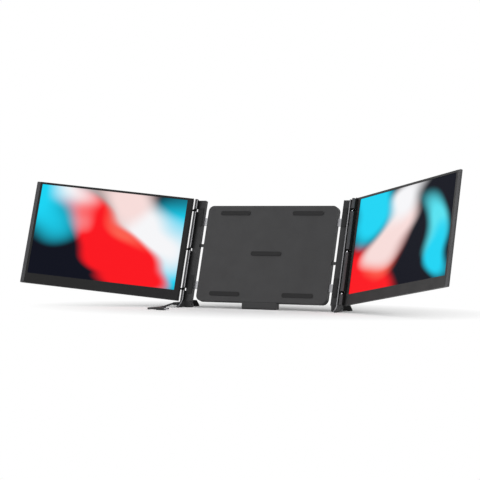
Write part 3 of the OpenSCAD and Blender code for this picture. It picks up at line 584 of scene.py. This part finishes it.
def add_cable(materials):
    path = smooth_route(CABLE_ROUTE, 30)
    curve = bpy.data.curves.new("cable_line", "CURVE")
    curve.dimensions = "3D"
    line = curve.splines.new("POLY")
    line.points.add(len(path) - 1)
    for point, place in zip(line.points, path):
        point.co = (*place, 1)
    curve.bevel_depth = CABLE_D / 2 * MM
    curve.bevel_resolution = 5
    curve.use_fill_caps = True
    cable = bpy.data.objects.new("cable_line", curve)
    bpy.context.scene.collection.objects.link(cable)
    curve.materials.append(materials["cable"])
    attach(cable, "left_carriage")
    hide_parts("cable")
    near = add_plug("plug_in_socket", "cable_plug", materials)
    far = add_plug("plug_for_laptop", "laptop_plug", materials)


def add_plug(name, node, materials):
    """A moulded plug: ribbed relief, grip with eased edges, and its metal shell."""
    low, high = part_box(node)
    across = high.x - low.x > high.y - low.y
    rings = []
    for k in range(4):
        ring = drum("ring", RELIEF[0] / 2 - 0.12 * (3 - k), 2 * k, 2 * k + 1.4, 32)
        bevel(ring, 0.2)
        rings.append(ring)
    core = drum("core", CABLE_D / 2 + 0.15, 0, RELIEF[1], 32)
    grip = block(
        "grip",
        (-GRIP[0] / 2, -GRIP[1] / 2, RELIEF[1]),
        (GRIP[0] / 2, GRIP[1] / 2, RELIEF[1] + GRIP[2]),
    )
    bevel(grip, 2.2, 5)
    shell = block(
        "shell",
        (-SHELL[0] / 2, -SHELL[1] / 2, RELIEF[1] + GRIP[2] - 1),
        (SHELL[0] / 2, SHELL[1] / 2, RELIEF[1] + GRIP[2] + SHELL[2]),
    )
    edit(shell)
    pick_faces(shell, lambda middle, normal: normal.z > 0.9)
    bpy.ops.mesh.inset(thickness=0.3 * MM)
    bpy.ops.mesh.extrude_region_move(TRANSFORM_OT_translate={"value": (0, 0, -4 * MM)})
    deselect()
    bevel(shell, 0.9, 4)
    shell.data.materials.append(materials["steel"])
    for part in rings + [core, grip]:
        part.data.materials.append(materials["button"])
    plug = join(name, [grip, core, shell] + rings)
    smooth(plug, 40)
    if across:
        turn = Matrix.Rotation(math.radians(90), 4, "Y") @ Matrix.Rotation(math.radians(90), 4, "Z")
        place = Vector((low.x, (low.y + high.y) / 2, (low.z + high.z) / 2))
    else:
        turn = Matrix.Rotation(math.radians(-90), 4, "X")
        place = Vector(((low.x + high.x) / 2, low.y, (low.z + high.z) / 2))
    seat(plug, Matrix.Translation(place) @ turn)
    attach(plug, "left_carriage")
    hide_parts(node)
    return plug


# ---- Screens ----

def add_picture(side, materials):
    """The lit sheet behind the bezel's window."""
    deselect()
    bpy.ops.mesh.primitive_plane_add(size=1)
    sheet = bpy.context.active_object
    sheet.name = side + "_picture"
    sheet.scale = (PICTURE_W * MM, PICTURE_H * MM, 1)
    sheet.rotation_euler = (math.radians(90), 0, 0)
    settle(sheet)
    edit(sheet)
    bpy.ops.mesh.select_all(action="SELECT")
    bpy.ops.mesh.inset(thickness=PICTURE_EDGE * MM)
    deselect()
    sheet.data.transform(Matrix.Translation(Vector((
        INNER_BORDER + PICTURE_W / 2, BEZEL_T - PICTURE_BACK, CHIN + PICTURE_H / 2
    )) * MM))
    seat(sheet, screen_frame(side))
    finish_piece(sheet, materials[side + " picture"], side + "_screen", side + "_display")
    sheet.data.materials.append(materials["panel"])
    middle = Vector((INNER_BORDER + PICTURE_W / 2, 0, CHIN + PICTURE_H / 2)) * MM
    middle = screen_frame(side) @ middle
    for face in sheet.data.polygons:
        if (face.center - middle).length > 20 * MM:
            face.material_index = 1


def add_screen(side, materials):
    body = side + "_screen"
    place = screen_frame(side)
    add_picture(side, materials)
    bezel = dress(materials, side + "_bezel", 0.25, "bezel", body, "bezel_plastic")
    # The rib standing in front of the bezel's face gets painted shade black, dark as if in shadow
    paint(bezel, materials["painted_shade"], place, lambda middle, normal: middle.y < -0.05)
    dress(materials, side + "_back_cover", 0.5, "case", body, "case_plastic")
    trim = dress(materials, side + "_edge_trim", 0.35, "trim", body, "trim_aluminium")
    # The trim's outward-facing side gets the darker case plastic as painted shade
    paint(trim, materials["case"], place, lambda middle, normal: normal.x > 0.8)
    dress(materials, side + "_hinge_arms", 0.25, "black steel", body, "black_steel")
    screws = socketed(side + "_arm_screws", backwards(place), 1.9, 0.5)
    finish_piece(screws, materials["screw"], body, "screw_steel", side + "_arm_screws")
    for button in ("power", "menu"):
        node = f"{side}_{button}_button"
        dress(materials, node, 0.4, "button", node, "button_plastic", 3)


# ---- Carriages, legs and housing ----

def add_carriage(side, materials):
    body = side + "_carriage"
    plan = [
        ("side_rail", 0.5, "rail", "rail_aluminium"),
        ("edge_lip", 0.2, "lip", "lip_aluminium"),
        ("hinge_barrels", 0.35, "barrel", "barrel_aluminium"),
        ("foot", 0.4, "foot", "foot_aluminium"),
        ("rail_pads", 0.3, "rubber", "black_rubber"),
    ]
    for part, width, material, slot in plan:
        piece = dress(materials, f"{side}_{part}", width, material, body, slot)
        if part == "edge_lip":
            paint_lip(piece, side, materials)
        if part == "foot":
            paint_foot(piece, side, materials)
    dress(materials, side + "_leg", 0.5, "black steel", side + "_leg", "black_steel")


def paint_lip(lip, side, materials):
    """Leaves only the front of a side lip pale, and gives its sides and the web behind it painted
    shade black.
    """
    front = LIP_FRONT[side]
    paint(
        lip, materials["painted_shade"], hinge_frame(side),
        lambda middle, normal: normal.y > -0.3 or middle.y > front,
    )


def paint_foot(foot, side, materials):
    """Makes a foot's toe bead pale, and picks out the round face at the leg's pivot."""
    outwards = Matrix.Diagonal((SIDES[side]["out"], 1, 1, 1))
    pivot = Vector(LEG_PIVOT)
    paint(
        foot, materials["lip"], outwards,
        lambda middle, normal: BEAD_IN < middle.x < BEAD_OUT and middle.y < -2
        and max(normal.z, -normal.y) > 0.35,
    )
    paint(
        foot, materials["trim"], outwards,
        lambda middle, normal: normal.x > 0.9
        and (Vector((middle.y, middle.z)) - pivot).length < RING_R,
    )


def add_housing(materials):
    dress(materials, "housing_front", 0.6, "housing", "frame", "housing_plastic", 3)
    dress(materials, "housing_back", 1.0, "housing", "frame", "housing_plastic", 3)
    screws = socketed("housing_screws", backwards(lean_frame()), 2.6, 0.9)
    finish_piece(screws, materials["screw"], "frame", "screw_steel", "housing_screws")
    dress(materials, "lid_pads", 0.35, "rubber", "frame", "black_rubber")
    dress(materials, "base_foot", 0.8, "housing", "frame", "housing_plastic", 3)


def dress_frame_nodes(materials):
    """Gives each frame node that stays in view its own finish."""
    by_slot = {
        "steel": "steel", "white_plastic": "acetal", "circuit_board": "board",
        "black_rubber": "rubber", "screw_steel": "screw", "black_steel": "black steel",
        "light_guide": "light guide", "left_display": "panel", "right_display": "panel",
        "housing_plastic": "housing", "rail_aluminium": "rail", "lip_aluminium": "lip",
        "barrel_aluminium": "barrel", "foot_aluminium": "foot", "case_plastic": "case",
        "bezel_plastic": "bezel", "trim_aluminium": "trim", "button_plastic": "button",
        "cable_rubber": "cable", "plug_plastic": "button",
    }
    for entry in frame["record"]["subparts"]:
        node = frame["nodes"][entry["node"]]
        material = materials[by_slot[entry["material_slot"]]]
        if entry["node"].endswith("hinge_shaft"):
            material = materials["shaft"]
        for slot in node.material_slots:
            slot.material = material


# ---- Stage ----

FLOOR_SIZE = 30
SHADOW_REACH = (0.55, 0.36)     # in metres, across and along the floor
FADE = (0.3, 0.95)              # shares of that reach between which the shadow goes to white


def add_stage():
    """A pale floor that keeps the shadow near the object and goes to plain white further off."""
    deselect()
    bpy.ops.mesh.primitive_plane_add(size=FLOOR_SIZE)
    floor = bpy.context.active_object
    floor.name = "floor"
    material, tree, shader = new_material("pale floor")
    shader.inputs["Base Color"].default_value = (0.9, 0.9, 0.9, 1)
    shader.inputs["Roughness"].default_value = 0.9
    shader.inputs["Specular IOR Level"].default_value = 0
    place = tree.nodes.new("ShaderNodeTexCoord")
    squeeze = (1 / SHADOW_REACH[0], 1 / SHADOW_REACH[1], 0)
    shaped = vector_step(tree, "MULTIPLY", place.outputs["Object"], squeeze)
    away = vector_step(tree, "LENGTH", shaped.outputs["Vector"])
    far = span(tree, away.outputs["Value"], 0, 1, *FADE)
    shine = tree.nodes.new("ShaderNodeEmission")
    mix = tree.nodes.new("ShaderNodeMixShader")
    seen = tree.nodes.new("ShaderNodeMath")
    seen.operation = "MULTIPLY"
    tree.links.new(far, seen.inputs[0])
    tree.links.new(plain_rays(tree), seen.inputs[1])
    tree.links.new(seen.outputs[0], mix.inputs["Fac"])
    tree.links.new(shader.outputs["BSDF"], mix.inputs[1])
    tree.links.new(shine.outputs["Emission"], mix.inputs[2])
    tree.links.new(mix.outputs["Shader"], tree.nodes["Material Output"].inputs["Surface"])
    floor.data.materials.append(material)


def plain_rays(tree):
    """1 for what the camera sees, straight or in gloss or through glass, and 0 for light."""
    rays = tree.nodes.new("ShaderNodeLightPath")
    either = rays.outputs["Is Camera Ray"]
    for kind in ("Is Glossy Ray", "Is Transmission Ray"):
        node = tree.nodes.new("ShaderNodeMath")
        node.operation = "MAXIMUM"
        tree.links.new(either, node.inputs[0])
        tree.links.new(rays.outputs[kind], node.inputs[1])
        either = node.outputs[0]
    return either


def add_lamp(name, place, aim, size, watts):
    data = bpy.data.lights.new(name, "AREA")
    data.shape = "RECTANGLE"
    data.size, data.size_y = size
    data.energy = watts
    lamp = bpy.data.objects.new(name, data)
    bpy.context.scene.collection.objects.link(lamp)
    lamp.location = place
    lamp.rotation_mode = "QUATERNION"
    lamp.rotation_quaternion = (Vector(aim) - Vector(place)).to_track_quat("-Z", "Y")


LAMPS_AIM = (0, 0, 0.12)
# Each lamp: name, place and size in metres, watts
LAMPS = [
    ("left window", (-2.5, -1.2, 1.1), (1.6, 1.2), 24),
    ("right window", (2.5, -1.5, 0.9), (0.9, 1.0), 50),
    ("ceiling", (0, 0.3, 2.8), (2.4, 1.6), 30),
]
SKY_LIGHT, SKY_SEEN = 0.2, 1.0


def add_light():
    for name, place, size, watts in LAMPS:
        add_lamp(name, place, LAMPS_AIM, size, watts)
    world = bpy.data.worlds.new("studio")
    world.use_nodes = True
    bpy.context.scene.world = world
    tree = world.node_tree
    back = tree.nodes["Background"]
    strength = span(tree, plain_rays(tree), SKY_LIGHT, SKY_SEEN, 0, 1)
    tree.links.new(strength, back.inputs["Strength"])
    back.inputs["Color"].default_value = (1, 1, 1, 1)


def main():
    add_camera()
    materials = make_materials()
    add_cable(materials)
    dress_frame_nodes(materials)
    for side in SIDES:
        add_screen(side, materials)
        add_carriage(side, materials)
    add_housing(materials)
    add_stage()
    add_light()
    bpy.context.scene.view_settings.view_transform = "Standard"


main()
